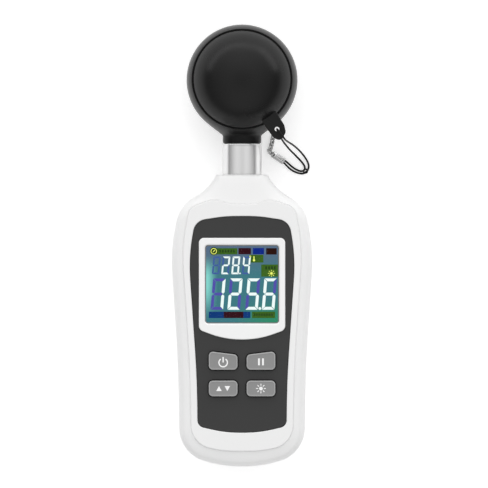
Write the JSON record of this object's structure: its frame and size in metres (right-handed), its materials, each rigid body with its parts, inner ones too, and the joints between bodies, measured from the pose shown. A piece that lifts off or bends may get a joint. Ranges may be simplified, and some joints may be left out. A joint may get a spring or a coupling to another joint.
{
  "type": "handheld light meter",
  "caption": "Handheld light meter: slim white case with a display and buttons, and a swivelling round sensor head under a tethered black cap.",
  "frame": {"origin": "centre of the meter's box, on its back face, without the lanyard", "axes": "+X to the right of the display, +Y from the tail towards the sensor head, +Z out of the display"},
  "size_m": [0.0508, 0.16, 0.0366],
  "materials": {
    "case_white": "fine satin moulded ABS",
    "panel_grey": "matte printed overlay",
    "frame_white": "glossy printed border",
    "clear_window": "clear polished window",
    "display_glass": "lit colour display",
    "light_guide": "diffusing light guide",
    "holder_white": "moulded nylon",
    "elastomer_pink": "soft elastomer",
    "board_green": "solder mask over fibreglass",
    "chip_black": "moulded epoxy",
    "button_grey": "satin silicone rubber",
    "cell_wrap": "printed shrink wrap",
    "steel": "plated steel",
    "brass": "turned brass",
    "cable_black": "PVC sheath",
    "collar_metal": "brushed along its length",
    "bush_black": "acetal",
    "head_black": "satin moulded ABS",
    "dome_white": "translucent diffusing acrylic",
    "filter_glass": "blue-green correction glass",
    "diode_metal": "metal can",
    "cap_black": "semi-gloss moulded plastic",
    "cord_black": "braided nylon cord",
    "lanyard_metal": "nickel plated"
  },
  "bodies": {
    "case": {"front_shell": "case_white", "rear_shell": "case_white", "front_panel": "panel_grey", "window_frame": "frame_white", "display_lens": "clear_window", "lcd_glass": "display_glass", "lcd_backlight": "light_guide", "lcd_holder": "holder_white", "zebra_strip": "elastomer_pink", "main_board": "board_green", "board_components": "chip_black", "thermistor": "chip_black", "keypad_mat": "button_grey", "tact_switches": "chip_black", "battery_cells": "cell_wrap", "contact_springs": "steel", "contact_plates": "steel", "tripod_insert": "brass", "shell_screws": "steel", "board_screws": "steel", "board_cable": "cable_black", "cable_socket": "holder_white", "neck_collar": "collar_metal", "swivel_bushing": "bush_black", "friction_washer": "steel"},
    "head": {"swivel_spindle": "steel", "retaining_ring": "steel", "sensor_cable": "cable_black", "head_rear_shell": "head_black", "head_front_shell": "head_black", "diffuser_dome": "dome_white", "optical_filter": "filter_glass", "photodiode": "diode_metal", "sensor_board": "board_green", "head_screws": "steel"},
    "cap": {"sensor_cap": "cap_black", "lanyard_cord": "cord_black", "lanyard_bead": "cord_black", "lanyard_ferrule": "lanyard_metal", "lanyard_chain": "lanyard_metal"},
    "door": {"battery_door": "case_white"},
    "key_power": {"button_power": "button_grey"},
    "key_hold": {"button_hold": "button_grey"},
    "key_min_max": {"button_min_max": "button_grey"},
    "key_units": {"button_units": "button_grey"}
  },
  "joints": [
    {"name": "head_swivel", "type": "hinge", "parent": "case", "child": "head", "pos_m": [0, 0.03, 0.014], "axis": [0, 1, 0], "range_deg": [-135, 135]},
    {"name": "cap_pull", "type": "slide", "parent": "head", "child": "cap", "axis": [0, 0, 1], "range_m": [0, 0.04]},
    {"name": "battery_door_slide", "type": "slide", "parent": "case", "child": "door", "axis": [0, -1, 0], "range_m": [0, 0.07]},
    {"name": "press_power", "type": "slide", "parent": "case", "child": "key_power", "axis": [0, 0, -1], "range_m": [0, 0.0008], "stiffness_N_per_m": 800},
    {"name": "press_hold", "type": "slide", "parent": "case", "child": "key_hold", "axis": [0, 0, -1], "range_m": [0, 0.0008], "stiffness_N_per_m": 800},
    {"name": "press_min_max", "type": "slide", "parent": "case", "child": "key_min_max", "axis": [0, 0, -1], "range_m": [0, 0.0008], "stiffness_N_per_m": 800},
    {"name": "press_units", "type": "slide", "parent": "case", "child": "key_units", "axis": [0, 0, -1], "range_m": [0, 0.0008], "stiffness_N_per_m": 800}
  ]
}
